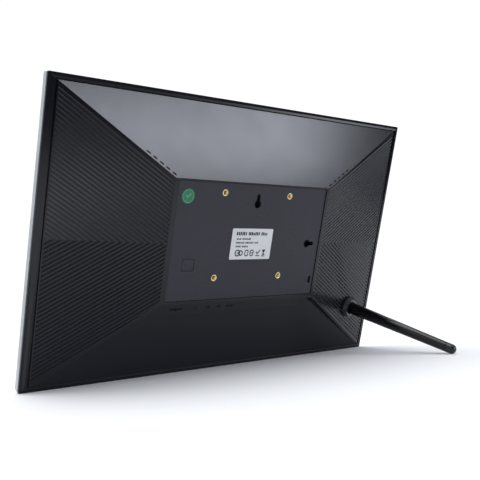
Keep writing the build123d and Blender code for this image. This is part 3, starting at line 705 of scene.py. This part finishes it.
def make_rod():
    """The tapered rod and the rubber tip that ends in a half ball."""
    build = bmesh.new()
    profile = [(ROD_START + SOCKET_DEPTH, SOCKET_RADIUS), (ROD_START + 0.25, SOCKET_RADIUS)]
    profile += [(ROD_START, 3.3), (ROD_START, 5.55)]
    profile += [(ROD_START + 0.06, 5.85), (ROD_START + 0.2, 6.02), (ROD_START + 0.45, 6.11)]
    profile += [(ROD_START + 0.8, taper(ROD_START + 0.8))]
    profile += [(s, taper(s)) for s in range(8, 114, 4)]
    profile += [(114.35, taper(114.35)), (114.65, 4.70), (114.82, 4.62)]
    profile += [(ROD_JOINT - 0.03, 4.45), (ROD_JOINT - 0.03, 2.6)]
    rows = turned(build, profile, ROD_STEPS)
    build.faces.new(rows[0])
    build.faces.new(rows[-1])
    rod = make_piece("rod_shaft", build, ROD, "stand_rod", rod_gloss)
    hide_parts("stand_rod")

    build = bmesh.new()
    profile = [(ROD_JOINT, 2.4), (ROD_JOINT, 4.42), (115.08, 4.60), (115.3, 4.685)]
    profile += [(s, taper(s)) for s in (115.7, 116.5, 118.0, 119.2)]
    profile += [
        (TIP_CENTRE + TIP_RADIUS * math.sin(a), TIP_RADIUS * math.cos(a))
        for a in (math.radians(step) for step in range(0, 90, 5))
    ]
    rows = turned(build, profile, ROD_STEPS)
    build.faces.new(rows[0])
    build.faces.new(rows[-1])
    tip = make_piece("rod_tip", build, ROD, "stand_rod", tip_rubber)
    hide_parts("stand_tip")


def make_stud():
    """Threaded stud between the rod's foot and the nut in the cover."""
    build = bmesh.new()
    start, stop, step = -5.5, ROD_START + 6.7, 0.125
    crest, pitch, depth = 2.95, 1.0, 0.5
    heights = [start + step * index for index in range(int((stop - start) / step) + 1)]
    thread = helix(pitch, depth)
    rows = turned(build, [(height, crest) for height in heights], 48, radius=thread)
    build.faces.new(rows[0])
    build.faces.new(rows[-1])
    stud = make_piece("stud_thread", build, ROD, "stand_rod", zinc)
    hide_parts("stand_stud")


# ---------------------------------------------------------------- brass inserts
HALF_PITCH = 37.5
INSERT_STEPS = 40
INSERT_LENGTH = 6.9
THREAD_RADIUS = 1.66
THREAD_PITCH = 0.7
THREAD_DEPTH = 0.28
KNURL_RADIUS = 3.06
KNURL_RIDGES = 30
KNURL_TWIST = 0.4
KNURL_DEPTH = 0.22


def knurl(angle, height, base):
    """Slanted ridges on the parts of an insert that grip the plastic."""
    ridge = abs((angle * KNURL_RIDGES / math.tau + height * KNURL_TWIST) % 1.0 - 0.5)
    return base - KNURL_DEPTH * ridge if base > 3.0 else base


def make_inserts():
    """Four brass inserts, threaded inside and knurled outside."""
    build = bmesh.new()
    thread = helix(THREAD_PITCH, -THREAD_DEPTH)
    top, foot = INSERT_TOP, INSERT_TOP - INSERT_LENGTH
    levels = [top - 0.45 - 0.0875 * index for index in range(72)]
    outside = [(top - 0.45, 1.95), (top - 0.05, 2.15), (top, 2.25), (top, 2.85), (top - 0.12, 3.02)]
    outside += [(top - 0.6, 3.02), (top - 0.7, 2.7), (top - 1.0, 2.7)]
    outside += [(top - 1.1 - 0.25 * index, KNURL_RADIUS) for index in range(9)]
    outside += [(top - 3.3, 2.62), (top - 3.9, 2.62)]
    outside += [(top - 4.0 - 0.25 * index, KNURL_RADIUS) for index in range(11)]
    outside += [(foot + 0.1, 2.6), (foot, 2.5), (foot, 1.95)]
    for du in (-HALF_PITCH, HALF_PITCH):
        for dv in (-HALF_PITCH, HALF_PITCH):
            centre = (INSERTS[0] + du, INSERTS[1] + dv)
            threaded = [(level, THREAD_RADIUS) for level in levels]
            bore = turned(build, threaded, INSERT_STEPS, centre, thread)
            shell = turned(build, outside, INSERT_STEPS, centre, knurl)
            for first, second in ((bore[0], shell[0]), (bore[-1], shell[-1])):
                for step in range(INSERT_STEPS):
                    after = (step + 1) % INSERT_STEPS
                    build.faces.new((first[step], first[after], second[after], second[step]))
    inserts = make_piece("threaded_inserts", build, LOCAL, "frame", brass, smooth=False)
    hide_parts("mount_inserts")


# ---------------------------------------------------------------- printing on label and sticker
LABEL = (1.1, -0.3)
LABEL_TOP = 17.92
PRINT_SUNK = 0.02
PRINT_RISE = 0.025
# line's v, first and last u, height and width of its blocks, from the label's middle
LABEL_LINES = (
    (9.4, -17.8, 17.8, 3.0, 1.5),
    (4.6, -17.6, -2.0, 1.6, 0.95),
    (1.2, -17.6, 8.0, 1.6, 0.95),
    (-2.2, -17.6, -4.5, 1.6, 0.95),
)
SYMBOLS_V = -8.2
TICK = ((-2.6, 0.6), (-1.9, 1.4), (-0.5, 0.0), (2.4, 3.1), (3.1, 2.4), (-0.5, -1.5))
BIN = ((-2.2, 3.0), (2.2, 3.0), (0.35, 0.0), (1.9, -1.9), (-1.9, -1.9), (-0.35, 0.0))


def make_label_print():
    """Greeked lines and plain symbols: no readable text."""
    draw = random.Random(7)
    build = bmesh.new()
    low, high = LABEL_TOP - PRINT_SUNK, LABEL_TOP + PRINT_RISE

    def block(u, v, wide, tall, radius, turns=3):
        plate(build, rounded(LABEL[0] + u, LABEL[1] + v, wide, tall, radius, turns), low, high)

    for v, start, stop, tall, wide in LABEL_LINES:
        u = start
        while u < stop:
            letters = draw.randint(4, 8)
            for _ in range(letters):
                if u > stop:
                    break
                size = wide * draw.uniform(0.75, 1.1)
                height = tall * draw.choice((1.0, 1.0, 0.78))
                drop = (tall - height) / 2
                block(u, v - drop, size, height, 0.12, 2)
                u += size + wide * 0.34
            u += wide * 1.1

    def at(u):
        return LABEL[0] + u, LABEL[1] + SYMBOLS_V

    for u, outer, inner in ((-15.0, 3.1, 2.0), (-11.4, 2.6, 1.5)):
        band(build, circle(*at(u), outer), circle(*at(u), inner), low, high)
    block(-15.0, SYMBOLS_V, 2.6, 0.8, 0.3)
    for u in (-4.6, 1.4):
        outer, inner = rounded(*at(u), 4.4, 6.0, 1.6), rounded(*at(u), 2.5, 4.2, 0.9)
        band(build, outer, inner, low, high)
    block(1.4, SYMBOLS_V, 2.4, 0.8, 0.3)
    for middle, outline in ((8.6, TICK), (15.4, BIN)):
        u, v = at(middle)
        plate(build, [(u + x, v + y) for x, y in outline], low, high)
    block(8.6, SYMBOLS_V - 2.6, 4.8, 0.9, 0.3)
    block(15.4, SYMBOLS_V - 2.9, 4.2, 0.8, 0.3)
    make_piece("label_print", build, LOCAL, "frame", black_print, smooth=False)


STICKER = (-74.0, 40.0)
STICKER_PRINT = (17.89, 17.925)  # depths of the print's two faces
STICKER_TICK = ((-2.6, 0.3), (-1.7, 1.2), (-0.5, 0.0), (2.2, 2.9), (3.1, 2.0), (-0.5, -1.8))


def make_sticker_print():
    """A thin ring and a tick."""
    build = bmesh.new()
    u, v = STICKER
    band(build, circle(u, v, 5.5, 48), circle(u, v, 5.0, 48), *STICKER_PRINT)
    plate(build, [(u + x, v + y) for x, y in STICKER_TICK], *STICKER_PRINT)
    pale = moulded("pale_green_print", (0.055, 0.30, 0.16), 0.4, 2500.0)
    make_piece("sticker_print", build, LOCAL, "frame", pale, smooth=False)


# ---------------------------------------------------------------- port marks above the sockets
MARK = (-0.03, 0.05)  # heights of a mark's two faces over the cover
HALF_LINE = 0.22
MARKS_V = -57.0
OVER_COVER = 0.04  # metres; the rays that find the cover start this far out
NARROW = (0.62, 0.85, 1.0, 1.0)


def make_port_marks():
    """One small plain symbol above each socket, laid on the cover's surface."""
    cover = nodes["back_cover"].data
    corners = [vertex.co for vertex in cover.vertices]
    tree = BVHTree.FromPolygons(corners, [face.vertices for face in cover.polygons])
    build = bmesh.new()

    def stroke(points):
        for (x0, y0), (x1, y1) in zip(points, points[1:]):
            run = math.hypot(x1 - x0, y1 - y0)
            nx, ny = -(y1 - y0) / run * HALF_LINE, (x1 - x0) / run * HALF_LINE
            start = [(x0 + nx, y0 + ny), (x0 - nx, y0 - ny)]
            plate(build, start + [(x1 - nx, y1 - ny), (x1 + nx, y1 + ny)], *MARK)

    def card():
        plate(build, [(-1.3, -1.3), (1.3, -1.3), (1.3, 0.5), (0.5, 1.3), (-1.3, 1.3)], *MARK)
        for x in (2.6, 3.9, 5.2, 6.5, -2.6, -3.9, -5.2):
            plate(build, rounded(x, 0, 0.9, 1.9, 0.15), *MARK)

    def headphones():
        angles = [math.radians(degrees) for degrees in range(0, 181, 15)]
        stroke([(1.3 * math.cos(a), 1.3 * math.sin(a)) for a in angles])
        for x in (-1.3, 1.3):
            plate(build, rounded(x, -0.6, 0.8, 1.3, 0.2), *MARK)

    def power():
        band(build, circle(0, 0, 1.3), circle(0, 0, 0.9), *MARK)
        plate(build, circle(0, 0, 0.45, 12), *MARK)
        stroke([(1.3, 0), (2.6, 0)])
        stroke([(-2.6, 0), (-1.3, 0)])

    def branch():
        stroke([(-2.2, 0), (2.0, 0)])
        stroke([(-1.0, 0), (-0.2, 0.9), (0.9, 0.9)])
        stroke([(-0.4, 0), (0.4, -0.9), (1.3, -0.9)])
        plate(build, circle(-2.3, 0, 0.5, 12), *MARK)

    full = (1.0, 1.0, 1.0, 1.0)
    for u, draw_mark, size in (
        (-72, card, full),
        (-51, headphones, full),
        (-38, power, full),
        (-26, branch, full),
        (-14.5, card, NARROW),
    ):
        start = LOCAL @ Vector((u * MM, MARKS_V * MM, OVER_COVER))
        spot, normal, _, _ = tree.ray_cast(start, -D_AXIS)
        side = U_AXIS - normal * U_AXIS.dot(normal)
        side.normalize()
        turn = Matrix((side, normal.cross(side), normal)).transposed().to_4x4()
        known = set(build.verts)
        draw_mark()
        new = [vert for vert in build.verts if vert not in known]
        place = Matrix.Translation(spot) @ turn @ Matrix.Scale(MM, 4) @ Matrix.Diagonal(size)
        bmesh.ops.transform(build, matrix=Matrix.Scale(1 / MM, 4) @ place, verts=new)
    world = Matrix.Identity(4)
    make_piece("port_marks", build, world, "frame", mark_print, smooth=False)


make_rod()
make_stud()
make_inserts()
make_label_print()
make_sticker_print()
make_port_marks()
